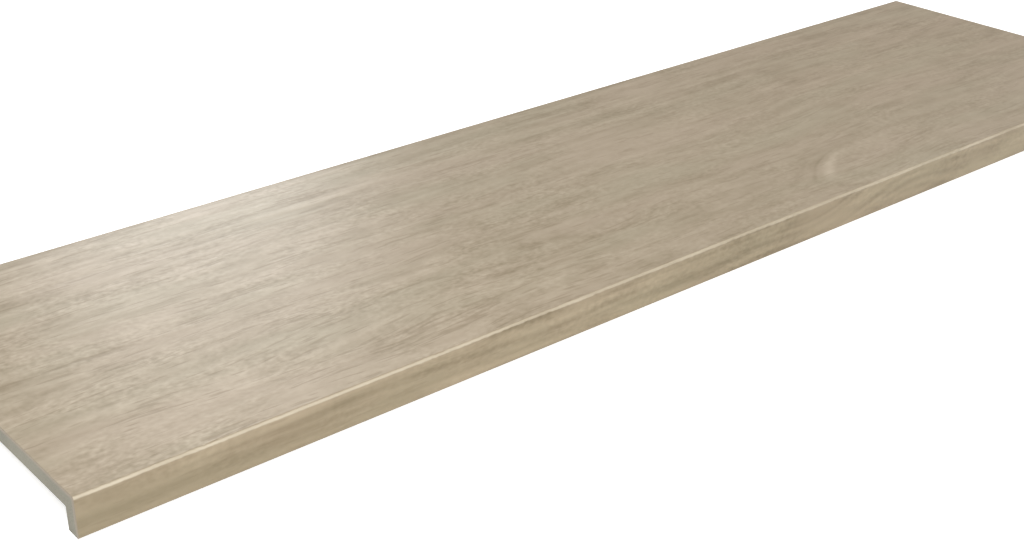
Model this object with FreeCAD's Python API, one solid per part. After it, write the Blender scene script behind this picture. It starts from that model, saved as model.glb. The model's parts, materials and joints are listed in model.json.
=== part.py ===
"""Wood-effect stoneware stair tread with a square drop nosing, fired as one L-shaped piece.

The slab is stepped on. The nosing hangs from its front edge and laps over the riser below.
Sizes are millimetres: X runs along the nosing, Y from the front to the back, Z up.
The section is drawn as it is laid on a stair, with the walking surface level. The finished
tread is then set down as it lies on a floor when nothing holds it.
"""

import FreeCAD, Part
import math
import os

# Overall sizes, as the tread is sold
TREAD_LENGTH = 1200.0
TREAD_DEPTH = 330.0
NOSING_HEIGHT = 30.0

# Walls of the L section
SLAB_THICKNESS = 12.5
NOSING_THICKNESS = 12.5

# Edges
FRONT_ARRIS_RADIUS = 1.8
ROOT_FILLET_RADIUS = 0.8
RECTIFIED_BEVEL = 0.5

POSITION_TOLERANCE = 1e-6


def section_face():
    """The L section with sharp corners, on the plane of the left end."""
    slab_underside = NOSING_HEIGHT - SLAB_THICKNESS
    outline = [
        (0.0, 0.0),
        (0.0, NOSING_HEIGHT),
        (TREAD_DEPTH, NOSING_HEIGHT),
        (TREAD_DEPTH, slab_underside),
        (NOSING_THICKNESS, slab_underside),
        (NOSING_THICKNESS, 0.0),
    ]
    corners = [FreeCAD.Vector(0.0, y, z) for y, z in outline]
    return Part.Face(Part.makePolygon(corners + corners[:1]))


def lengthwise_edge(solid, y, z):
    """The edge that runs the whole length through one corner of the section."""
    for edge in solid.Edges:
        middle = edge.CenterOfMass
        if math.hypot(middle.y - y, middle.z - z) < POSITION_TOLERANCE:
            return edge
    raise ValueError(f"no lengthwise edge at y {y}, z {z}")


def round_edge(solid, y, z, radius):
    return solid.makeFillet(radius, [lengthwise_edge(solid, y, z)])


def decorated_faces(solid):
    """The printed and glazed skin: the walking surface, the front arris and the nosing's front."""
    arris_axis_z = NOSING_HEIGHT - FRONT_ARRIS_RADIUS
    skin = []
    for face in solid.Faces:
        middle = face.CenterOfMass
        on_top = abs(middle.z - NOSING_HEIGHT) < POSITION_TOLERANCE
        on_front = abs(middle.y) < POSITION_TOLERANCE
        on_arris = (
            isinstance(face.Surface, Part.Cylinder)
            and abs(face.Surface.Center.z - arris_axis_z) < POSITION_TOLERANCE
        )
        if on_top or on_front or on_arris:
            skin.append(face)
    return skin


def rim_of(faces):
    """The edges that border the group of faces, which are those that only one of them has."""
    edges = [edge for face in faces for edge in face.Edges]
    return [edge for edge in edges if sum(edge.isSame(other) for other in edges) == 1]


def bevel_rim(solid):
    """Grinds the small bevel that a rectified tile has all round its decorated skin."""
    return solid.makeChamfer(RECTIFIED_BEVEL, rim_of(decorated_faces(solid)))


def level_tread():
    """The tread as laid on a stair."""
    solid = section_face().extrude(FreeCAD.Vector(TREAD_LENGTH, 0.0, 0.0))
    solid = round_edge(solid, 0.0, NOSING_HEIGHT, FRONT_ARRIS_RADIUS)
    slab_underside = NOSING_HEIGHT - SLAB_THICKNESS
    solid = round_edge(solid, NOSING_THICKNESS, slab_underside, ROOT_FILLET_RADIUS)
    return bevel_rim(solid)


def rest_angle():
    """The slope at which the slab's lower back edge and the nosing's heel both touch a floor."""
    drop = NOSING_HEIGHT - SLAB_THICKNESS
    run = TREAD_DEPTH - NOSING_THICKNESS
    return math.atan2(drop, run)


def set_down(solid):
    """Tips the tread back to its rest angle and puts the middle of its footprint at the origin."""
    lengthwise = FreeCAD.Vector(1.0, 0.0, 0.0)
    laid = solid.copy()
    laid.rotate(FreeCAD.Vector(), lengthwise, -math.degrees(rest_angle()))
    box = laid.optimalBoundingBox(False, False)
    laid.translate(FreeCAD.Vector(-box.Center.x, -box.Center.y, -box.ZMin))
    return laid


def main():
    os.makedirs("parts", exist_ok=True)
    set_down(level_tread()).exportStep("parts/stair_tread.step")


main()
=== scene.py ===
# %% [markdown]
# # A wood-effect stoneware stair tread
#
# The real tread is a porcelain tile, pressed and fired as one L-shaped piece. A slab is
# stepped on, and a square nosing hangs from its front edge and laps over the riser. The
# walking surface and the nosing's front carry a printed and glazed pale oak. The ends, the
# back edge and the underside are bare stoneware.
#
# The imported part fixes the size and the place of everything. Its own mesh could be shown as
# it is, but its faces are too large to press a grain into. So this lesson models the same
# section again with a finer mesh, presses the grain, and finishes the two surfaces.

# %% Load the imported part
import json
import math

import bmesh
import bpy
from mathutils import Matrix, Vector

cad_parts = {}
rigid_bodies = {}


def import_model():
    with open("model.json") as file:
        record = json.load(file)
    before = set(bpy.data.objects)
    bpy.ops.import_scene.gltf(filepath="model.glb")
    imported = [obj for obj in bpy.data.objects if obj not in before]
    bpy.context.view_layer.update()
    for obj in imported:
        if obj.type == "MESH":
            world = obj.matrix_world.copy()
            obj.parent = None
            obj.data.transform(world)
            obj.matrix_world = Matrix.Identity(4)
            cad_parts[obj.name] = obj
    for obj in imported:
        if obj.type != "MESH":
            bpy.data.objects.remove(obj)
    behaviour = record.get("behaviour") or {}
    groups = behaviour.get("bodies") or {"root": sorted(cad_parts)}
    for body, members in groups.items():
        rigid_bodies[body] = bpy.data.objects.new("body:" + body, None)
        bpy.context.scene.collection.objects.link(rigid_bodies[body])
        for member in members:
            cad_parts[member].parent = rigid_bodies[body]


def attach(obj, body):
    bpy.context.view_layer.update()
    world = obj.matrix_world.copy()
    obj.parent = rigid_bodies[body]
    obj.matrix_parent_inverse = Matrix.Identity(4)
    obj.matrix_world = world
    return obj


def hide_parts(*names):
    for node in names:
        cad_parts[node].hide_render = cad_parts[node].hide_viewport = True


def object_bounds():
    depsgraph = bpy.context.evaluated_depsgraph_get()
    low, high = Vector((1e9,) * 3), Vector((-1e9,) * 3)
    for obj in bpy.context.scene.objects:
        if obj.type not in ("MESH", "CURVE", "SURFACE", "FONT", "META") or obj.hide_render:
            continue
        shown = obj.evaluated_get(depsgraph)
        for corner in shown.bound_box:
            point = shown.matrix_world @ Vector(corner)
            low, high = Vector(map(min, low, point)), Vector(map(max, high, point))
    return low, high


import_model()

packed_low, packed_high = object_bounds()
print("packed part:", tuple(packed_high - packed_low))

# %% [markdown]
# ## Sizes
#
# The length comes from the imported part. The section's own sizes repeat those of the part,
# because the box of a tipped L doesn't give them. Everything is in metres, as Blender counts.

# %% Sizes of the section
MILLIMETRE = 0.001
TREAD_LENGTH = packed_high.x - packed_low.x
TREAD_DEPTH = 330 * MILLIMETRE
NOSING_HEIGHT = 30 * MILLIMETRE
SLAB_THICKNESS = 12.5 * MILLIMETRE
NOSING_THICKNESS = 12.5 * MILLIMETRE
FRONT_ARRIS_RADIUS = 1.8 * MILLIMETRE
ROOT_FILLET_RADIUS = 0.8 * MILLIMETRE
RECTIFIED_BEVEL = 0.5 * MILLIMETRE

SLAB_UNDERSIDE = NOSING_HEIGHT - SLAB_THICKNESS
print("length:", TREAD_LENGTH)

# %% [markdown]
# ## How the tread lies
#
# Unheld on a floor, the real tread tips back until the nosing's heel and the slab's lower
# back edge both touch. It could be modelled at that angle, but every cut would then be a
# slanting one. So it is modelled level, with its left front corner at the origin, and one
# matrix holds the move to the floor. The mesh, the camera and the lamps all use that
# matrix, so the picture looks as if the tread were level.

# %% The move from the drawing to the floor
REST_ANGLE = math.atan2(SLAB_UNDERSIDE, TREAD_DEPTH - NOSING_THICKNESS)
HEEL_LIFT = NOSING_THICKNESS * math.sin(REST_ANGLE)
FRONT_REACH = RECTIFIED_BEVEL * math.sin(REST_ANGLE)
SET_DOWN = Matrix.Translation(
    (packed_low.x, packed_low.y - FRONT_REACH, packed_low.z + HEEL_LIFT)
) @ Matrix.Rotation(-REST_ANGLE, 4, "X")
print("rest angle:", math.degrees(REST_ANGLE))

# %% [markdown]
# ## The camera
#
# The camera comes first, because it says how large each detail will be in the picture. It
# could be moved by eye until the outlines agree. The photograph's straight edges give its
# place and its lens more exactly, so those numbers are used. They are measured from the left
# front corner of the nosing's foot, with the tread level.

# %% Camera
CAMERA_PLACE = Vector((-0.3025, -0.7707, 0.5670))
CAMERA_PITCH_DOWN = math.radians(26.18)
CAMERA_YAW_RIGHT = math.radians(39.80)
CAMERA_LENS = 55.81
SENSOR_WIDTH = 36.0

camera_data = bpy.data.cameras.new("camera")
camera_data.lens = CAMERA_LENS
camera_data.sensor_width = SENSOR_WIDTH
camera = bpy.data.objects.new("camera", camera_data)
bpy.context.scene.collection.objects.link(camera)
camera.matrix_world = (
    SET_DOWN
    @ Matrix.Translation(CAMERA_PLACE)
    @ Matrix.Rotation(-CAMERA_YAW_RIGHT, 4, "Z")
    @ Matrix.Rotation(math.pi / 2 - CAMERA_PITCH_DOWN, 4, "X")
)
bpy.context.scene.camera = camera
print("camera at", tuple(round(c, 3) for c in camera.matrix_world.translation))

# %% [markdown]
# ## Picking by place
#
# In Blender's window a face or an edge is picked with the mouse. A script has no mouse, and
# the index numbers change with every cut. So each face or edge is picked by its place or by
# the way it faces. Two small allowances say how exact a place or a normal has to be.

# %% Picking faces and edges
CLOSE = 0.01 * MILLIMETRE
FLAT = 0.001
SELECT_MODES = {"faces": (False, False, True), "edges": (False, True, False)}


def pick(piece, kind, wanted):
    """Selects, in edit mode, the faces or edges for which wanted() is true."""
    bpy.context.tool_settings.mesh_select_mode = SELECT_MODES[kind]
    bpy.ops.mesh.select_all(action="DESELECT")
    mesh = bmesh.from_edit_mesh(piece.data)
    found = [item for item in getattr(mesh, kind) if wanted(item)]
    for item in found:
        item.select_set(True)
    bmesh.update_edit_mesh(piece.data)
    return len(found)


def count_faces(piece):
    return len(bmesh.from_edit_mesh(piece.data).faces)


def span(edge):
    """How far an edge reaches along X, Y and Z."""
    start, end = (corner.co for corner in edge.verts)
    return Vector([abs(a - b) for a, b in zip(start, end)])


def faces_down(face):
    return face.normal.z < FLAT - 1


# %% [markdown]
# ## The section, from a slab
#
# The real L is pressed in one go. Here it could be an outline of six corners, extruded
# along the tread. It starts as a plain slab instead, because only one strip then has to be
# moved: a cut is made behind the nosing, and the strip of underside in front of it is
# pulled down. What is left of the cut is dissolved, so that the section has just its six
# corners.

# %% The L-shaped block
def below_the_nosing(face):
    return faces_down(face) and face.calc_center_median().y < NOSING_THICKNESS


bpy.ops.object.select_all(action="DESELECT")
bpy.ops.mesh.primitive_cube_add(
    size=1,
    location=(TREAD_LENGTH / 2, TREAD_DEPTH / 2, NOSING_HEIGHT - SLAB_THICKNESS / 2),
    scale=(TREAD_LENGTH, TREAD_DEPTH, SLAB_THICKNESS),
)
tread = bpy.context.object
tread.name = "tread_body"
bpy.ops.object.transform_apply(location=True, rotation=True, scale=True)
bpy.ops.object.mode_set(mode="EDIT")
bpy.ops.mesh.select_all(action="SELECT")
bpy.ops.mesh.bisect(plane_co=(0, NOSING_THICKNESS, 0), plane_no=(0, 1, 0))
pick(tread, "faces", below_the_nosing)
bpy.ops.mesh.extrude_region_move(TRANSFORM_OT_translate={"value": (0, 0, -SLAB_UNDERSIDE)})
bpy.ops.mesh.select_all(action="SELECT")
bpy.ops.mesh.dissolve_limited(angle_limit=math.radians(1))
print("faces of the block:", count_faces(tread))

# %% [markdown]
# ## Rounded edges
#
# A glazed tile has no knife edges. Its front arris is rounded, and the root of the nosing
# has a small fillet. A bevel modifier rounds every edge alike, unless each one is given a
# weight, so the bevel operator is used on just these two edges. The arris gets more
# segments than the root, because it catches the light.

# %% Rounded arris and root
ARRIS_SEGMENTS = 8
ROOT_SEGMENTS = 4


def runs_along(edge):
    return span(edge).x > TREAD_LENGTH / 2


def lengthwise_edge(y, z):
    """Makes the test for the one lengthwise edge at y, z."""
    corner = Vector((0, y, z))
    return lambda edge: runs_along(edge) and (edge.verts[0].co - corner).yz.length < CLOSE


pick(tread, "edges", lengthwise_edge(0, NOSING_HEIGHT))
bpy.ops.mesh.bevel(offset=FRONT_ARRIS_RADIUS, segments=ARRIS_SEGMENTS, clamp_overlap=False)
pick(tread, "edges", lengthwise_edge(NOSING_THICKNESS, SLAB_UNDERSIDE))
bpy.ops.mesh.bevel(offset=ROOT_FILLET_RADIUS, segments=ROOT_SEGMENTS, clamp_overlap=False)
print("faces after the rounding:", count_faces(tread))

# %% [markdown]
# ## The ground bevel
#
# After firing, the tile is ground to size, and a fine bevel is left all round the printed
# skin. The bevel operator could go over its edges one by one. They are found together
# instead: the skin's faces point up, forward or between the two, and an edge is in the rim
# when just one of its faces is skin.

# %% Ground bevel round the skin
def is_skin(face):
    return abs(face.normal.x) < FLAT and face.normal.y < FLAT and face.normal.z > -FLAT


def is_rim(edge):
    return sum(is_skin(face) for face in edge.link_faces) == 1


rim_edges = pick(tread, "edges", is_rim)
bpy.ops.mesh.bevel(offset=RECTIFIED_BEVEL, segments=1, clamp_overlap=False)
print("edges in the rim:", rim_edges)

# %% [markdown]
# ## Two finishes on one piece
#
# Glaze and bare body meet along the ground bevel. They could be two objects, but the real
# tread is one piece, so it is one mesh with two material slots. The mesh gets its slots
# while it still has few faces, because every face that is cut later keeps the slot of the
# face it came from. The materials are filled in further down.

# %% Material slots
BARE, PRINTED = 0, 1
bare_stoneware = bpy.data.materials.new("bare_stoneware")
printed_oak_glaze = bpy.data.materials.new("printed_oak_glaze")
tread.data.materials.append(bare_stoneware)
tread.data.materials.append(printed_oak_glaze)
tread.active_material_index = BARE
bpy.ops.mesh.select_all(action="SELECT")
bpy.ops.object.material_slot_assign()
tread.active_material_index = PRINTED
skin_faces = pick(tread, "faces", is_skin)
bpy.ops.object.material_slot_assign()
print("faces of the skin:", skin_faces)

# %% [markdown]
# ## A mesh fine enough to press
#
# The press plate leaves the grain's relief in the skin, so the skin needs small faces. A
# subdivision would cut both ways alike and waste most of them. The grain is long and
# narrow, so its cells are too: 6 mm along the grain and 1 mm across it. Loop cut would do
# this by hand. It needs a window, and subdivide_edgering makes the same cuts from a ring of
# selected edges.

# %% Cuts along and across
CUTS_ALONG = 199
CUTS_OVER_THE_TOP = 319
CUTS_DOWN_THE_FRONT = 24


def crosses_the_top(edge):
    on_top = min(corner.co.z for corner in edge.verts) > NOSING_HEIGHT - RECTIFIED_BEVEL - CLOSE
    return on_top and span(edge).y > TREAD_DEPTH / 2


def crosses_the_front(edge):
    on_front = max(corner.co.y for corner in edge.verts) < RECTIFIED_BEVEL + CLOSE
    return on_front and span(edge).z > NOSING_HEIGHT / 2


for belongs, cuts in (
    (runs_along, CUTS_ALONG),
    (crosses_the_top, CUTS_OVER_THE_TOP),
    (crosses_the_front, CUTS_DOWN_THE_FRONT),
):
    pick(tread, "edges", belongs)
    bpy.ops.mesh.subdivide_edgering(number_cuts=cuts, interpolation="LINEAR", profile_shape_factor=0)
print("faces after the cuts:", count_faces(tread))

# %% [markdown]
# ## The keyed underside
#
# A pressed tile has a shallow relief on its back, which keys into the adhesive. Here it is
# a net of channels between square pads. Cutting the channels out with a boolean would leave
# untidy faces. So the slab's underside is cut at both sides of each channel, and the net is
# picked by place, extruded and pushed up into the slab.

# %% Channels in the slab's underside
CELL_LENGTH = TREAD_LENGTH / (CUTS_ALONG + 1)
CELLS_PER_PAD = 4
CHANNEL_WIDTH = CELL_LENGTH
PAD_PITCH = CELL_LENGTH * CELLS_PER_PAD
CHANNEL_DEPTH = 0.35 * MILLIMETRE
PLAIN_BEHIND_ROOT = 6 * MILLIMETRE
FRONT_LAND = NOSING_THICKNESS + ROOT_FILLET_RADIUS + PLAIN_BEHIND_ROOT
channels_deep = int((TREAD_DEPTH - FRONT_LAND) // PAD_PITCH)
channel_starts = [FRONT_LAND + PAD_PITCH * n for n in range(channels_deep)]
BACK_LAND = channel_starts[-1] + CHANNEL_WIDTH


def on_underside(face):
    return faces_down(face) and face.calc_center_median().z > SLAB_UNDERSIDE - CLOSE


def in_channel(face):
    middle = face.calc_center_median()
    if not on_underside(face) or not FRONT_LAND < middle.y < BACK_LAND:
        return False
    if not PAD_PITCH < middle.x < TREAD_LENGTH - PAD_PITCH:
        return False
    lengthwise = (middle.y - FRONT_LAND) % PAD_PITCH < CHANNEL_WIDTH
    crosswise = int(middle.x / CELL_LENGTH) % CELLS_PER_PAD == 0
    return lengthwise or crosswise


for start in channel_starts:
    for y in (start, start + CHANNEL_WIDTH):
        pick(tread, "faces", on_underside)
        bpy.ops.mesh.bisect(plane_co=(0, y, 0), plane_no=(0, 1, 0))
channel_faces = pick(tread, "faces", in_channel)
bpy.ops.mesh.extrude_region_move(TRANSFORM_OT_translate={"value": (0, 0, CHANNEL_DEPTH)})
bpy.ops.object.mode_set(mode="OBJECT")
print("channels across the depth:", channels_deep, "faces in the net:", channel_faces)

# %% [markdown]
# ## The printed sheet, laid flat
#
# The print goes over the walking surface, round the arris and down the front as one sheet.
# Blender's unwrap could lay it flat, but the size would be lost. Such a skin bends one way
# only, so it unrolls by hand without stretching: the first coordinate is the distance along
# the tread, and the second is the distance towards the back, which turns negative below the
# middle of the arris. Both are in metres and are kept as a UV map.

# %% Unrolled coordinates
SHEET = "printed_sheet"
ARRIS_HALF = FRONT_ARRIS_RADIUS * math.pi / 4


def place_on_sheet(point):
    """The distance along the tread, and the one back from the middle of the arris."""
    back_from_axis = point.y - FRONT_ARRIS_RADIUS
    up_from_axis = point.z - (NOSING_HEIGHT - FRONT_ARRIS_RADIUS)
    if back_from_axis > 0:
        return point.x, back_from_axis + ARRIS_HALF
    if up_from_axis < 0:
        return point.x, up_from_axis - ARRIS_HALF
    turned = math.atan2(-back_from_axis, up_from_axis)
    return point.x, ARRIS_HALF - FRONT_ARRIS_RADIUS * turned


sheet_layer = tread.data.uv_layers.new(name=SHEET)
sheet_places = [place_on_sheet(vertex.co) for vertex in tread.data.vertices]
for corner in tread.data.loops:
    sheet_layer.data[corner.index].uv = sheet_places[corner.vertex_index]
print("sheet reaches from", min(v for u, v in sheet_places), "to", max(v for u, v in sheet_places))

# %% [markdown]
# ## One grain for two uses
#
# In such a tile the press plate's relief follows the print. A painted picture of the grain
# could drive both, but it would have to be stored and would blur close by. Geometry nodes
# and shader nodes share their noise and maths nodes, so one function can build the grain in
# either kind of tree. Both read the same sheet, and the relief then falls on the printed
# lines. First come the small helpers that keep such a tree short to write.

# %% Helpers for node trees
def feed(tree, socket, value):
    """Links a socket to another node, or types a plain value into it."""
    if isinstance(value, bpy.types.NodeSocket):
        tree.links.new(value, socket)
    else:
        socket.default_value = value


def add_node(tree, kind, inputs, **settings):
    """Adds a node, with its settings made and its inputs fed."""
    made = tree.nodes.new(kind)
    for name, value in settings.items():
        setattr(made, name, value)
    for name, value in inputs.items():
        feed(tree, made.inputs[name], value)
    return made


def reckon(tree, operation, first, second=0.0, third=0.0):
    """One sum, product or the like of numbers or sockets."""
    inputs = {0: first, 1: second, 2: third}
    return add_node(tree, "ShaderNodeMath", inputs, operation=operation).outputs[0]


def rescale(tree, value, low, high, new_low, new_high, soft=False):
    """Spreads low..high over new_low..new_high and stops at both ends."""
    kind = "SMOOTHSTEP" if soft else "LINEAR"
    inputs = {"Value": value, "From Min": low, "From Max": high, "To Min": new_low, "To Max": new_high}
    return add_node(tree, "ShaderNodeMapRange", inputs, interpolation_type=kind).outputs[0]


def between(tree, share, first, second):
    """first where share is 0, second where it is 1."""
    inputs = {"Factor": share, "A": first, "B": second}
    return add_node(tree, "ShaderNodeMix", inputs, data_type="FLOAT").outputs[0]


def blend(tree, shares):
    """Adds up sockets, each multiplied by its share."""
    total = 0.0
    for socket, share in shares:
        total = reckon(tree, "MULTIPLY_ADD", socket, share, total)
    return total


def blend_parts(tree, parts, shares):
    """Adds up the named parts of the grain, each multiplied by its share."""
    return blend(tree, [(parts[name], share) for name, share in shares.items()])


# %% [markdown]
# ## Noise, drawn out along the board
#
# Everything in a board is longer than it is wide. Stretching the texture with a Mapping
# node would do it, but here a size in metres says more: the place on the sheet is divided
# by the length and the width of a blot. Noise stays near its middle, 0.5, so a second
# helper spreads out just that part.

# %% Drawn-out noise
NOISE_ROUGHNESS = 0.55


def drawn_out_noise(tree, along, across, size, layer, detail=2.0):
    """Noise whose blots have about the given length and width. Each layer is another noise."""
    length, width = size
    inputs = {
        "X": reckon(tree, "DIVIDE", along, length),
        "Y": reckon(tree, "DIVIDE", across, width),
        "Z": layer,
    }
    place = add_node(tree, "ShaderNodeCombineXYZ", inputs)
    noise_inputs = {
        "Vector": place.outputs[0],
        "Scale": 1.0,
        "Detail": detail,
        "Roughness": NOISE_ROUGHNESS,
    }
    return add_node(tree, "ShaderNodeTexNoise", noise_inputs, noise_dimensions="3D").outputs[0]


def spread_noise(tree, noise, reach, low, high):
    """Spreads the middle of a noise, from 0.5 - reach to 0.5 + reach, over low..high."""
    return rescale(tree, noise, 0.5 - reach, 0.5 + reach, low, high)


# %% [markdown]
# ## Growth rings
#
# A flat-sawn board shows its growth rings as long lines, and as nested arches where the cut
# comes nearer to the log's heart. A wave texture gives even stripes and no arches. Here each
# point gets its distance from the heart line, over the top and down the nosing's front as
# in one log. The heart lies deep under the front part and rises right of the middle, which
# draws a faint arch there. A slow noise lets the lines wander, most near the front.

# %% Distance from the heart
HEART_BEHIND_ARRIS = 33 * MILLIMETRE
HEART_DEPTH_LEFT = 66 * MILLIMETRE
HEART_DEPTH_RIGHT = 38 * MILLIMETRE
HEART_RISES_FROM = 650 * MILLIMETRE
HEART_RISES_TO = 810 * MILLIMETRE
WANDER_SIZE = (0.21, 0.065)
WANDER_IN_FRONT = 34 * MILLIMETRE
WANDER_AT_THE_BACK = 7 * MILLIMETRE
WANDER_FADES_FROM = 100 * MILLIMETRE


def wander(tree, along, across):
    """How far the grain strays from a straight line, in metres towards the front."""
    slow = drawn_out_noise(tree, along, across, WANDER_SIZE, layer=3.1, detail=1.0)
    reach = rescale(tree, across, WANDER_FADES_FROM, TREAD_DEPTH, WANDER_IN_FRONT, WANDER_AT_THE_BACK)
    return reckon(tree, "MULTIPLY", reckon(tree, "SUBTRACT", slow, 0.5), reach)


def heart_distance(tree, along, across, shift):
    """How far a place on the sheet lies from the log's heart, in metres."""
    on_top = reckon(tree, "MAXIMUM", across, 0.0)
    down_the_front = reckon(tree, "MINIMUM", across, 0.0)
    heart_depth = rescale(
        tree, along, HEART_RISES_FROM, HEART_RISES_TO, HEART_DEPTH_LEFT, HEART_DEPTH_RIGHT, soft=True
    )
    sideways = blend(tree, ((on_top, 1.0), (shift, 1.0), (HEART_BEHIND_ARRIS, -1.0)))
    below = reckon(tree, "ADD", heart_depth, down_the_front)
    sideways_squared = reckon(tree, "POWER", sideways, 2.0)
    below_squared = reckon(tree, "POWER", below, 2.0)
    return reckon(tree, "SQRT", reckon(tree, "ADD", sideways_squared, below_squared))


print("heart's depth:", HEART_DEPTH_LEFT, "on the left,", HEART_DEPTH_RIGHT, "on the right")

# %% [markdown]
# ## Where the rings are cut square
#
# Near the back edge and on the nosing's front, the saw met the rings squarely. They lie
# closer there and show as plain streaks. Thin lines inside each ring follow its curve. Both
# could have one strength all over, but the real board is calm in the middle, so their
# strength depends on the place.

# %% Rings and thin lines
RING_SIZE = (0.24, 0.013)
RING_REACH = 0.20
LINE_SIZE = (0.20, 0.0046)
LINE_REACH = 0.20
SQUARE_CUT_FROM = 210 * MILLIMETRE
SQUARE_CUT_TO = 285 * MILLIMETRE
BACK_RING_STRENGTH = 2.2
FLAT_LINE_STRENGTH = 0.3
BACK_LINE_STRENGTH = 0.7
FRONT_LINE_STRENGTH = 1.5
FRONT_STARTS_OVER = 2 * MILLIMETRE


def front_share(tree, across):
    """1 on the nosing's front, falling to 0 at the middle of the arris."""
    return rescale(tree, across, -FRONT_STARTS_OVER, 0.0, 1.0, 0.0)


def ring_tone(tree, along, across, ring_place):
    """Swings about 0.5, further near the back edge."""
    noise = drawn_out_noise(tree, along, ring_place, RING_SIZE, layer=11.3, detail=1.0)
    waves = spread_noise(tree, noise, RING_REACH, -0.5, 0.5)
    strength = rescale(tree, across, SQUARE_CUT_FROM, SQUARE_CUT_TO, 1.0, BACK_RING_STRENGTH)
    return reckon(tree, "MULTIPLY_ADD", waves, strength, 0.5)


def thin_lines(tree, along, across, ring_place):
    """Swings about 0.5, further near the back edge and furthest on the nosing's front."""
    noise = drawn_out_noise(tree, along, ring_place, LINE_SIZE, layer=83.3, detail=0.5)
    waves = spread_noise(tree, noise, LINE_REACH, -0.5, 0.5)
    near_back = rescale(
        tree, across, SQUARE_CUT_FROM, SQUARE_CUT_TO, FLAT_LINE_STRENGTH, BACK_LINE_STRENGTH
    )
    near_front = reckon(tree, "MULTIPLY", front_share(tree, across), FRONT_LINE_STRENGTH)
    strength = reckon(tree, "MAXIMUM", near_back, near_front)
    return reckon(tree, "MULTIPLY_ADD", waves, strength, 0.5)


print("a ring's streak is", RING_SIZE[0], "long and", RING_SIZE[1], "wide")

# %% [markdown]
# ## Pores
#
# Oak has open pores, cut lengthwise into short dark dashes. They could be thin stretched
# marks all over the board. In real oak they always run straight along the board, and only
# their crowding follows the rings. That is why an arch in oak is made of short straight
# dashes. So one noise makes the dashes, and a second one, bent with the rings, crowds them.

# %% Pore dashes
PORE_SIZE = (0.026, 0.0025)
CROWDING_SIZE = (0.10, 0.010)
CROWDING_SHARE = 0.4
PORES_OPEN_FROM = 0.78
PORES_OPEN_TO = 0.92


def open_pores(tree, along, strayed, ring_place):
    """1 inside a pore and 0 between the pores."""
    dashes = drawn_out_noise(tree, along, strayed, PORE_SIZE, layer=37.7, detail=1.0)
    crowding = drawn_out_noise(tree, along, ring_place, CROWDING_SIZE, layer=41.3, detail=1.0)
    total = blend(tree, ((dashes, 1.0), (crowding, CROWDING_SHARE)))
    return rescale(tree, total, PORES_OPEN_FROM, PORES_OPEN_TO, 0.0, 1.0, soft=True)


print("a pore dash is", PORE_SIZE[0], "long and", PORE_SIZE[1], "wide")

# %% [markdown]
# ## Flecks and mottles
#
# Between its pores the print is speckled. Flecks are the finest speckle, and mottles are
# soft spots the size of a fingertip. One noise with more detail would give both, but then
# their strengths couldn't be set apart. Flecks come in patches: a slow noise makes them
# strong in one place and weak in the next.

# %% Flecks in patches, and mottles
FLECK_SIZE = (0.0058, 0.0035)
FLECK_REACH = 0.25
PATCH_SIZE = (0.060, 0.030)
PATCH_REACH = 0.15
WEAK_FLECKS = 0.45
STRONG_FLECKS = 1.55
MOTTLE_SIZE = (0.020, 0.014)
MOTTLE_REACH = 0.25


def patchy_flecks(tree, along, strayed):
    """Swings about 0, further in some patches than in others."""
    noise = drawn_out_noise(tree, along, strayed, FLECK_SIZE, layer=67.1, detail=1.0)
    patches = drawn_out_noise(tree, along, strayed, PATCH_SIZE, layer=97.7, detail=1.0)
    waves = spread_noise(tree, noise, FLECK_REACH, -0.5, 0.5)
    strength = spread_noise(tree, patches, PATCH_REACH, WEAK_FLECKS, STRONG_FLECKS)
    return reckon(tree, "MULTIPLY", waves, strength)


def soft_mottles(tree, along, strayed):
    """Swings about 0."""
    noise = drawn_out_noise(tree, along, strayed, MOTTLE_SIZE, layer=71.9, detail=1.0)
    return spread_noise(tree, noise, MOTTLE_REACH, -0.5, 0.5)


print("a fleck is", FLECK_SIZE[0], "long, a mottle", MOTTLE_SIZE[0])

# %% [markdown]
# ## One clear arch
#
# The photograph has one arch that stands out: a pale ring with a thin dark edge. A curve
# drawn by hand would cut across the other rings. This arch is simply the ring that has its
# tip at one chosen place, so it lies among them. It fades out along its arms, and its lower
# arm stays faint.

# %% The clear arch
ARCH_TIP = 55.4 * MILLIMETRE
ARCH_PALE_HALF = 3.1 * MILLIMETRE
ARCH_PALE_INSIDE = 3.0 * MILLIMETRE
ARCH_PALE_STRENGTH = 1.15
ARCH_EDGE_HALF = 1.3 * MILLIMETRE
ARCH_EDGE_OUTSIDE = 1.8 * MILLIMETRE
ARCH_EDGE_STRENGTH = 0.55
ARCH_FADES_FROM = 735 * MILLIMETRE
ARCH_FADES_TO = 800 * MILLIMETRE
UPPER_ARM_FROM = 42 * MILLIMETRE
LOWER_ARM_FROM = 26 * MILLIMETRE
LOWER_ARM_SHARE = 0.25


def ring_band(tree, outward, middle, half_width):
    """1 in the middle of a band along a ring, falling softly to 0 at both its sides."""
    from_middle = reckon(tree, "ABSOLUTE", reckon(tree, "SUBTRACT", outward, middle))
    return rescale(tree, from_middle, 0.0, half_width, 1.0, 0.0, soft=True)


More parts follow.
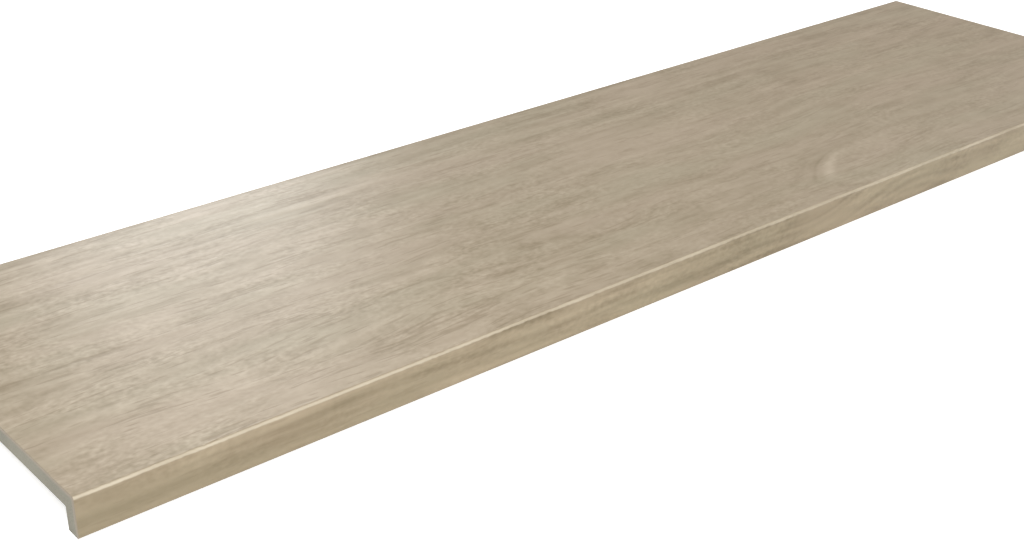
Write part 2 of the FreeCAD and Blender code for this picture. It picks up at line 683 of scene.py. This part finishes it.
def clear_arch(tree, along, across, ring_place):
    """Above 0 on the pale ring and below 0 on its dark edge."""
    outward = reckon(tree, "SUBTRACT", ring_place, ARCH_TIP)
    pale = ring_band(tree, outward, -ARCH_PALE_INSIDE, ARCH_PALE_HALF)
    dark = ring_band(tree, outward, ARCH_EDGE_OUTSIDE, ARCH_EDGE_HALF)
    near_tip = rescale(tree, along, ARCH_FADES_FROM, ARCH_FADES_TO, 1.0, 0.0, soft=True)
    upper = rescale(tree, across, LOWER_ARM_FROM, UPPER_ARM_FROM, LOWER_ARM_SHARE, 1.0, soft=True)
    arms = reckon(tree, "MULTIPLY", upper, near_tip)
    stripes = blend(tree, ((pale, ARCH_PALE_STRENGTH), (dark, -ARCH_EDGE_STRENGTH)))
    return reckon(tree, "MULTIPLY", stripes, arms)


print("the arch's tip lies", ARCH_TIP, "from the heart")

# %% [markdown]
# ## The whole grain
#
# All parts of the grain come together here. They could be made one by one wherever they are
# needed. One function that returns them by name keeps the relief and the print alike. The
# spots are weaker on the nosing's front, where the real print is mostly streaks.

# %% The whole grain
FIBRE_SIZE = (0.055, 0.0080)
FIBRE_REACH = 0.22
BLOTCH_SIZE = (0.19, 0.055)
FLECKS_IN_FRONT = 0.6
PORES_IN_FRONT = 0.4
MOTTLES_IN_FRONT = 0.2


def kept_in_front(tree, value, in_front, share):
    """The whole value on top, and only its share on the nosing's front."""
    return reckon(tree, "MULTIPLY", value, between(tree, in_front, 1.0, share))


def oak_grain(tree, sheet):
    """The grain's parts by name. Tones swing about 0.5, the arch about 0. Pores are 0 to 1."""
    split = add_node(tree, "ShaderNodeSeparateXYZ", {0: sheet})
    along, across = split.outputs[0], split.outputs[1]
    shift = wander(tree, along, across)
    strayed = reckon(tree, "ADD", across, shift)
    ring_place = heart_distance(tree, along, across, shift)
    in_front = front_share(tree, across)
    fibre = drawn_out_noise(tree, along, strayed, FIBRE_SIZE, layer=23.9, detail=0.8)
    pores = open_pores(tree, along, strayed, ring_place)
    flecks = kept_in_front(tree, patchy_flecks(tree, along, strayed), in_front, FLECKS_IN_FRONT)
    mottles = kept_in_front(tree, soft_mottles(tree, along, strayed), in_front, MOTTLES_IN_FRONT)
    return {
        "along": along,
        "across": across,
        "in_front": in_front,
        "rings": ring_tone(tree, along, across, ring_place),
        "lines": thin_lines(tree, along, across, ring_place),
        "arch": clear_arch(tree, along, across, ring_place),
        "fibre": spread_noise(tree, fibre, FIBRE_REACH, 0.0, 1.0),
        "pores": kept_in_front(tree, pores, in_front, PORES_IN_FRONT),
        "flecks": reckon(tree, "ADD", flecks, 0.5),
        "mottles": reckon(tree, "ADD", mottles, 0.5),
        "blotches": drawn_out_noise(tree, along, across, BLOTCH_SIZE, layer=53.9, detail=3.0),
    }


print("a fibre is", FIBRE_SIZE[0], "long, a blotch", BLOTCH_SIZE[0])

# %% [markdown]
# ## How far each point is pressed
#
# The press leaves the grain a tenth of a millimetre deep. At the rim the skin is ground
# flat, and the arris is polished, so the press must fade out there. A vertex group could
# hold that. A named attribute does the same and can be filled straight from the points'
# places.

# %% How strongly each point may be pressed
PRESSED = "pressed"
FADE_WIDTH = 3 * MILLIMETRE
SHEET_BACK = TREAD_DEPTH - RECTIFIED_BEVEL
SHEET_FOOT = RECTIFIED_BEVEL


def press_share(point):
    """1 on the open skin, falling to 0 at its rim, on the arris and on bare faces."""
    on_top = point.z > NOSING_HEIGHT - CLOSE
    on_front = point.y < CLOSE
    if on_top:
        room = min(point.y - FRONT_ARRIS_RADIUS, SHEET_BACK - point.y)
    elif on_front:
        room = min(NOSING_HEIGHT - FRONT_ARRIS_RADIUS - point.z, point.z - SHEET_FOOT)
    else:
        return 0.0
    from_ends = min(point.x, TREAD_LENGTH - point.x) - RECTIFIED_BEVEL
    return min(1.0, max(0.0, min(room, from_ends) / FADE_WIDTH))


share_layer = tread.data.attributes.new(PRESSED, "FLOAT", "POINT")
for vertex, entry in zip(tread.data.vertices, share_layer.data):
    entry.value = press_share(vertex.co)
print("points pressed in full:", sum(entry.value == 1.0 for entry in share_layer.data))

# %% [markdown]
# ## Pressing the relief
#
# A displace modifier would want the grain as a texture of its own. A geometry nodes
# modifier can use the grain as it is. It pushes the points of the skin inwards, furthest
# where the grain is darkest. A few of the palest are left standing proud of the skin, by
# 0.004 mm at most, and the mesh stays inside the part's box.

# %% Relief modifier
PRESS_DEPTH = 0.10 * MILLIMETRE
RELIEF_SHARES = {"rings": 0.30, "lines": 0.30, "fibre": 0.40}

press = bpy.data.node_groups.new("press_the_grain", "GeometryNodeTree")
press.interface.new_socket("Geometry", in_out="INPUT", socket_type="NodeSocketGeometry")
press.interface.new_socket("Geometry", in_out="OUTPUT", socket_type="NodeSocketGeometry")
blank = press.nodes.new("NodeGroupInput")
pressed_tread = press.nodes.new("NodeGroupOutput")
sheet_read = add_node(
    press, "GeometryNodeInputNamedAttribute", {"Name": SHEET}, data_type="FLOAT_VECTOR"
)
share_read = add_node(press, "GeometryNodeInputNamedAttribute", {"Name": PRESSED}, data_type="FLOAT")
relief = blend_parts(press, oak_grain(press, sheet_read.outputs[0]), RELIEF_SHARES)
sunk = reckon(press, "MULTIPLY", reckon(press, "SUBTRACT", relief, 1.0), PRESS_DEPTH)
inward = reckon(press, "MULTIPLY", sunk, share_read.outputs[0])
normal = press.nodes.new("GeometryNodeInputNormal")
push_inputs = {0: normal.outputs[0], "Scale": inward}
push = add_node(press, "ShaderNodeVectorMath", push_inputs, operation="SCALE")
moved_inputs = {"Geometry": blank.outputs[0], "Offset": push.outputs[0]}
moved = add_node(press, "GeometryNodeSetPosition", moved_inputs)
press.links.new(moved.outputs[0], pressed_tread.inputs[0])

bpy.context.view_layer.objects.active = tread
modifier = tread.modifiers.new("press_the_grain", "NODES")
modifier.node_group = press
bpy.ops.object.modifier_apply(modifier=modifier.name)
tread.data.attributes.remove(tread.data.attributes[PRESSED])
print("attributes left:", [a.name for a in tread.data.attributes])

# %% [markdown]
# ## Setting the tread down
#
# The finished mesh takes its place on the floor. Moving the object would be simpler, but
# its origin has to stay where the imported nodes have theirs, so the move goes into the mesh.
# Shading is smooth, with sharp edges kept where the tile has them.

# %% Place and shading
SHARP_FROM = math.radians(28)

tread.data.transform(SET_DOWN)
bpy.ops.object.select_all(action="DESELECT")
tread.select_set(True)
bpy.context.view_layer.objects.active = tread
bpy.ops.object.shade_smooth_by_angle(angle=SHARP_FROM)
print("triangles:", sum(len(face.vertices) - 2 for face in tread.data.polygons))

# %% [markdown]
# ## The printed and glazed oak: its tone
#
# The print is a pale, slightly grey oak. One colour ramp over one noise would look like
# cloth. Here all parts of the grain, each with its own share, add up to one tone between a
# darker and a paler beige. The printed image is livelier at the left end and calmer to the
# right, so the tone's swing changes along the tread.

# %% Tone of the print
TONE_SHARES = {
    "rings": 0.12,
    "lines": 0.21,
    "fibre": 0.23,
    "flecks": 0.27,
    "mottles": 0.17,
    "arch": 0.42,
}
MIDDLE_TONE = 0.455
CALM_FROM = 200 * MILLIMETRE
CALM_TO = 650 * MILLIMETRE
LIVELY_CONTRAST = 1.12
CALM_CONTRAST = 0.74
FRONT_CONTRAST_LEFT = 1.0
FRONT_CONTRAST_RIGHT = 1.3


def clear_nodes(material):
    material.use_nodes = True
    material.node_tree.nodes.clear()
    return material.node_tree


oak = clear_nodes(printed_oak_glaze)
oak_sheet = add_node(oak, "ShaderNodeUVMap", {}, uv_map=SHEET)
printed = oak_grain(oak, oak_sheet.outputs[0])
in_front = printed["in_front"]
rightward = rescale(oak, printed["along"], CALM_FROM, CALM_TO, 0.0, 1.0)
top_contrast = between(oak, rightward, LIVELY_CONTRAST, CALM_CONTRAST)
front_contrast = between(oak, rightward, FRONT_CONTRAST_LEFT, FRONT_CONTRAST_RIGHT)
contrast = between(oak, in_front, top_contrast, front_contrast)
swing = reckon(oak, "SUBTRACT", blend_parts(oak, printed, TONE_SHARES), 0.5)
tone = reckon(oak, "MULTIPLY_ADD", swing, contrast, MIDDLE_TONE)
print("shares of the tone without the arch:", sum(TONE_SHARES.values()) - TONE_SHARES["arch"])

# %% [markdown]
# ## Its colours
#
# The tone mixes a warm dark beige with a cooler pale one. A single hue would look dyed, so
# slow blotches lean to pink or to olive. Pores are laid over it as dark dashes, weaker where
# the print is calm.

# %% Colours of the grain
DARK_GRAIN = (0.146, 0.107, 0.049, 1)
PALE_GRAIN = (0.422, 0.352, 0.261, 1)
PINK_CAST = (0.318, 0.252, 0.180, 1)
PINK_SHARE = 0.5
OLIVE_CAST = (0.286, 0.246, 0.166, 1)
OLIVE_SHARE = 0.45
CAST_REACH = 0.15
PORE = (0.146, 0.102, 0.048, 1)
PORE_SHARE = 0.38
FIRST_COLOUR, SECOND_COLOUR, MIXED_COLOUR = 6, 7, 2


def mix_colour(tree, share, first, second, how="MIX"):
    """first where share is 0, second where it is 1, by the Mix node's colour sockets."""
    inputs = {"Factor": share, FIRST_COLOUR: first, SECOND_COLOUR: second}
    made = add_node(tree, "ShaderNodeMix", inputs, data_type="RGBA", blend_type=how)
    return made.outputs[MIXED_COLOUR]


blotches = printed["blotches"]
pinkness = rescale(oak, blotches, 0.5 - CAST_REACH, 0.5, PINK_SHARE, 0.0)
oliveness = rescale(oak, blotches, 0.5, 0.5 + CAST_REACH, 0.0, OLIVE_SHARE)
colour = mix_colour(oak, tone, DARK_GRAIN, PALE_GRAIN)
colour = mix_colour(oak, pinkness, colour, PINK_CAST)
colour = mix_colour(oak, oliveness, colour, OLIVE_CAST)
pore_strength = reckon(oak, "MULTIPLY", printed["pores"], top_contrast)
colour = mix_colour(oak, reckon(oak, "MULTIPLY", pore_strength, PORE_SHARE), colour, PORE)
print("nodes so far:", len(oak.nodes))

# %% [markdown]
# ## Warmer to the right, yellower in front, with painted shade
#
# On the real tread the print grows a little warmer towards its right end, and the nosing's
# front is a yellower, deeper oak than the top. Towards its right end the front's tint is
# also darker. That is painted shade, where the light on the front falls off. New grain
# colours for each region would show a seam. A tint that multiplies what is already there
# changes slowly and keeps the grain.

# %% Tints, with painted shade on the front
WARM_TINT = (1.02, 0.965, 0.90, 1)
WARM_FROM_THE_LEFT = 500 * MILLIMETRE
WARM_FROM_THE_FRONT = 200 * MILLIMETRE
WARM_SHARE_AT_ARRIS = 0.4
FRONT_TINT_LEFT = (0.93, 0.889, 0.772, 1)
# Painted shade: the front's tint at the right end is darker than at the left.
FRONT_TINT_AND_SHADE_RIGHT = (0.868, 0.836, 0.690, 1)

behind_arris = printed["across"]
warm_along = rescale(oak, printed["along"], WARM_FROM_THE_LEFT, TREAD_LENGTH, 0.0, 1.0)
warm_across = rescale(oak, behind_arris, 0.0, WARM_FROM_THE_FRONT, WARM_SHARE_AT_ARRIS, 1.0)
warm_share = reckon(oak, "MULTIPLY", warm_along, warm_across)
colour = mix_colour(oak, warm_share, colour, WARM_TINT, "MULTIPLY")
# The front's tint, yellower oak and darker to the right, where it paints shade.
front_tint_and_shade = mix_colour(oak, rightward, FRONT_TINT_LEFT, FRONT_TINT_AND_SHADE_RIGHT)
colour = mix_colour(oak, in_front, colour, front_tint_and_shade, "MULTIPLY")
print("warmer from", WARM_FROM_THE_LEFT, "to the right end")

# %% [markdown]
# ## The cream line and painted highlight on the arris
#
# The print thins out where it bends over the arris, and a cream line shows there, uneven
# and a little wider to the right. Light alone draws a line that is too thin and too even.
# So the material gets one of its own, by the distance from just below the middle of the
# arris. The line is partly the paler cream of the thinned print and partly a painted
# highlight of the rounded arris, brightest at the left and weaker to the right. Fibre and
# flecks push that distance about, and the line wavers with the grain.

# %% Cream line and painted highlight
# The line's colour is partly the paler thinned print and partly a painted highlight of the rounded
# arris.
ARRIS_CREAM_AND_HIGHLIGHT = (0.545, 0.472, 0.356, 1)
ARRIS_LINE_LOW = 0.5 * MILLIMETRE
ARRIS_UNEVENNESS = 0.6 * MILLIMETRE
ARRIS_CORE_HALF = 0.4 * MILLIMETRE
ARRIS_HALF_LEFT = 1.45 * MILLIMETRE
ARRIS_HALF_RIGHT = 1.9 * MILLIMETRE
CREAM_AND_HIGHLIGHT_EVERYWHERE = 0.53
CREAM_AND_HIGHLIGHT_ON_FIBRE = 0.45
# Painted highlight: the line weakens towards the right, as the shine on the arris does.
CREAM_AND_HIGHLIGHT_LOST_RIGHTWARD = 0.25

fibre, flecks = printed["fibre"], printed["flecks"]
wavering = blend(oak, ((fibre, ARRIS_UNEVENNESS), (flecks, ARRIS_UNEVENNESS), (behind_arris, 1.0)))
from_line = reckon(oak, "ABSOLUTE", reckon(oak, "ADD", wavering, ARRIS_LINE_LOW - ARRIS_UNEVENNESS))
line_half = between(oak, rightward, ARRIS_HALF_LEFT, ARRIS_HALF_RIGHT)
cream_and_highlight_line = rescale(oak, from_line, ARRIS_CORE_HALF, line_half, 1.0, 0.0, soft=True)
cream_and_highlight_shares = ((fibre, CREAM_AND_HIGHLIGHT_ON_FIBRE), (rightward, -CREAM_AND_HIGHLIGHT_LOST_RIGHTWARD), (1.0, CREAM_AND_HIGHLIGHT_EVERYWHERE))
arris_cream_and_highlight = reckon(oak, "MULTIPLY", cream_and_highlight_line, blend(oak, cream_and_highlight_shares))
# Mixes the cream and its painted highlight into the colour of the print.
colour = mix_colour(oak, arris_cream_and_highlight, colour, ARRIS_CREAM_AND_HIGHLIGHT)
print("the line is", 2 * ARRIS_HALF_LEFT, "wide at the left,", 2 * ARRIS_HALF_RIGHT, "at the right")

# %% [markdown]
# ## The glaze
#
# A satin glaze lies over the print. A coat of its own would add a second, sharper shine,
# which such a glaze hasn't got, so it is the roughness of the one surface. Its fine grooves
# run along the grain, and the anisotropy draws a highlight out across it. Marks too fine for
# the mesh come from a bump. The cream line shines more than the rest, because no grain is
# pressed into the arris.

# %% Glaze
GLAZE_ROUGHNESS = 0.35
ROUGHER_IN_GROOVES = 0.02
ARRIS_POLISH = 0.16
GROOVE_ANISOTROPY = 0.42
ACROSS_THE_GRAIN = 0.25
FINE_RELIEF = 0.12 * MILLIMETRE
FINE_RELIEF_STRENGTH = 0.25
FINE_RELIEF_SHARES = {"fibre": 0.20, "flecks": 0.20, "pores": -0.80}

fine_height = blend_parts(oak, printed, FINE_RELIEF_SHARES)
bump_inputs = {"Strength": FINE_RELIEF_STRENGTH, "Distance": FINE_RELIEF, "Height": fine_height}
bump = add_node(oak, "ShaderNodeBump", bump_inputs)
along_sheet = add_node(oak, "ShaderNodeTangent", {}, direction_type="UV_MAP", uv_map=SHEET)
open_roughness = rescale(oak, fibre, 0.0, 1.0, GLAZE_ROUGHNESS + ROUGHER_IN_GROOVES, GLAZE_ROUGHNESS)
roughness = reckon(oak, "MULTIPLY_ADD", arris_cream_and_highlight, -ARRIS_POLISH, open_roughness)
glaze = add_node(
    oak,
    "ShaderNodeBsdfPrincipled",
    {
        "Base Color": colour,
        "Roughness": roughness,
        "Normal": bump.outputs[0],
        "Anisotropic": GROOVE_ANISOTROPY,
        "Anisotropic Rotation": ACROSS_THE_GRAIN,
        "Tangent": along_sheet.outputs[0],
    },
)
add_node(oak, "ShaderNodeOutputMaterial", {"Surface": glaze.outputs[0]})
print("nodes of the glazed print:", len(oak.nodes))

# %% [markdown]
# ## Bare stoneware
#
# Under the glaze the body is a dense grey-green stoneware. It has fine pale and dark specks
# of its grit, soft clouds, and no shine. An unwrapped picture could hold them, but noise
# from Object coordinates runs unbroken over faces that point every way.

# %% Colour of the body
DARK_BODY = (0.171, 0.160, 0.120, 1)
PALE_BODY = (0.231, 0.217, 0.165, 1)
GRIT_PER_METRE = 900.0
GRIT_SHARE = 0.6
CLOUDS_PER_METRE = 35.0
CLOUD_SHARE = 0.4
BODY_REACH = 0.12

body = clear_nodes(bare_stoneware)
body_place = add_node(body, "ShaderNodeTexCoord", {}).outputs["Object"]
grit_inputs = {"Vector": body_place, "Scale": GRIT_PER_METRE, "Detail": 2.0}
grit = add_node(body, "ShaderNodeTexNoise", grit_inputs).outputs[0]
cloud_inputs = {"Vector": body_place, "Scale": CLOUDS_PER_METRE, "Detail": 3.0}
clouds = add_node(body, "ShaderNodeTexNoise", cloud_inputs).outputs[0]
body_tone = blend(body, ((grit, GRIT_SHARE), (clouds, CLOUD_SHARE)))
body_share = spread_noise(body, body_tone, BODY_REACH, 0.0, 1.0)
body_colour = mix_colour(body, body_share, DARK_BODY, PALE_BODY)
print("a speck of grit is", 1 / GRIT_PER_METRE, "wide")

# %% [markdown]
# ## The lap of the glaze
#
# The glaze runs a few millimetres over the edge and stains the bare ends just under the
# skin. A third material would need more cuts and would end in a hard line. So the body's
# colour fades to the glaze by its depth behind the skin, and the clouds make the fade
# uneven.

# %% Glaze lap
GLAZE_LAP = (0.270, 0.226, 0.170, 1)
LAP_SHARE = 0.85
LAP_UNEVENNESS = 1.6 * MILLIMETRE
LAP_FADES_FROM = 1.6 * MILLIMETRE
LAP_FADES_TO = 4.0 * MILLIMETRE


def depth_behind(tree, place, point, outward):
    """How deep a place lies behind the plane through point, both given on the level tread."""
    normal = SET_DOWN.to_3x3() @ Vector(outward)
    dot_inputs = {0: place, 1: normal}
    height = add_node(tree, "ShaderNodeVectorMath", dot_inputs, operation="DOT_PRODUCT").outputs[1]
    return reckon(tree, "SUBTRACT", normal.dot(SET_DOWN @ Vector(point)), height)


below_top = depth_behind(body, body_place, (0, 0, NOSING_HEIGHT), (0, 0, 1))
behind_front = depth_behind(body, body_place, (0, 0, 0), (0, -1, 0))
from_print = reckon(body, "MINIMUM", below_top, behind_front)
lap_edge = reckon(body, "MULTIPLY_ADD", clouds, LAP_UNEVENNESS, from_print)
lap = rescale(body, lap_edge, LAP_FADES_FROM, LAP_FADES_TO, LAP_SHARE, 0.0, soft=True)
body_colour = mix_colour(body, lap, body_colour, GLAZE_LAP)
print("the lap ends", LAP_FADES_TO, "below the skin at most")

# %% [markdown]
# ## The fired surface
#
# Fired and unglazed, the body is dull and feels like fine sandpaper. Real grains would cost
# far too many faces, so a bump from the same grit gives them.

# %% Surface of the body
BODY_ROUGHNESS = 0.72
GRIT_HEIGHT = 0.08 * MILLIMETRE
GRIT_STRENGTH = 0.5

grit_bump_inputs = {"Strength": GRIT_STRENGTH, "Distance": GRIT_HEIGHT, "Height": grit}
body_bump = add_node(body, "ShaderNodeBump", grit_bump_inputs)
body_inputs = {
    "Base Color": body_colour,
    "Roughness": BODY_ROUGHNESS,
    "Normal": body_bump.outputs[0],
}
fired_body = add_node(body, "ShaderNodeBsdfPrincipled", body_inputs)
add_node(body, "ShaderNodeOutputMaterial", {"Surface": fired_body.outputs[0]})
print("nodes of the body:", len(body.nodes))

# %% [markdown]
# ## Joining the frame
#
# The part has no joints, so it has one body, called root. The new mesh rides on it and
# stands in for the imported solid.

# %% Ride and replace
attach(tread, "root")
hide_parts("stair_tread")
print("the finished tread stands in for the packed one")

# %% [markdown]
# ## The floor
#
# The tread lies on a plain pale floor. Lamps strong enough to make a grey floor white would
# burn out the tread. So the floor glows a little by itself, and comes out white in soft
# light.

# %% Floor
FLOOR_SIZE = 20.0
FLOOR_GREY = 0.72
FLOOR_ROUGHNESS = 0.9
FLOOR_GLOW = 0.66
WHITE = (1, 1, 1, 1)

bpy.ops.object.select_all(action="DESELECT")
bpy.ops.mesh.primitive_plane_add(size=FLOOR_SIZE, location=(0, 0, 0))
floor = bpy.context.object
floor.name = "floor"
pale_floor = bpy.data.materials.new("pale_floor")
floor_tree = clear_nodes(pale_floor)
paint_inputs = {
    "Base Color": (FLOOR_GREY, FLOOR_GREY, FLOOR_GREY, 1),
    "Roughness": FLOOR_ROUGHNESS,
    "Emission Color": WHITE,
    "Emission Strength": FLOOR_GLOW,
}
paint = add_node(floor_tree, "ShaderNodeBsdfPrincipled", paint_inputs)
add_node(floor_tree, "ShaderNodeOutputMaterial", {"Surface": paint.outputs[0]})
floor.data.materials.append(pale_floor)
print("floor:", FLOOR_SIZE, "wide")

# %% [markdown]
# ## The sky
#
# An even sky fills the shadows. Its light has to stay weak, or the tread would look flat.
# A weak sky would be a grey strip above the floor in a low view, so the camera sees it
# white. Blender's own view transform would turn white to grey again, and the Standard one
# leaves it white.

# %% Sky
SKY_LIGHT = 0.65
SKY_SEEN = 1.0

world = bpy.data.worlds.new("studio")
bpy.context.scene.world = world
world.use_nodes = True
sky = world.node_tree.nodes["Background"]
ray = add_node(world.node_tree, "ShaderNodeLightPath", {})
sky_strength = between(world.node_tree, ray.outputs["Is Camera Ray"], SKY_LIGHT, SKY_SEEN)
feed(world.node_tree, sky.inputs["Color"], WHITE)
feed(world.node_tree, sky.inputs["Strength"], sky_strength)
bpy.context.scene.view_settings.view_transform = "Standard"
print("sky light:", SKY_LIGHT)

# %% [markdown]
# ## Two soft lamps
#
# A large soft lamp hangs overhead. The second one stands far behind the tread and low, and
# its reflection is the sheen on the left of the walking surface. Nearer by, it would give
# the same sheen from here, but would glare in the views from the front.

# %% Lamps
def soft_lamp(name, place, target, size, watts):
    """A rectangular lamp, its place and target given round the level tread."""
    data = bpy.data.lights.new(name, "AREA")
    data.shape = "RECTANGLE"
    data.size, data.size_y = size
    data.energy = watts
    lamp = bpy.data.objects.new(name, data)
    bpy.context.scene.collection.objects.link(lamp)
    lamp.location = SET_DOWN @ Vector(place)
    aim = SET_DOWN @ Vector(target) - lamp.location
    lamp.rotation_mode = "QUATERNION"
    lamp.rotation_quaternion = aim.to_track_quat("-Z", "Y")
    lamp.visible_camera = False
    print(name, "at", tuple(round(c, 2) for c in lamp.location))


soft_lamp("overhead", place=(-0.15, -0.40, 1.9), target=(0.1, 0.15, 0), size=(1.5, 1.5), watts=40)
soft_lamp("low_behind", place=(3.1, 6.08, 2.20), target=(0.25, 0.3, 0), size=(1.6, 1.0), watts=53)
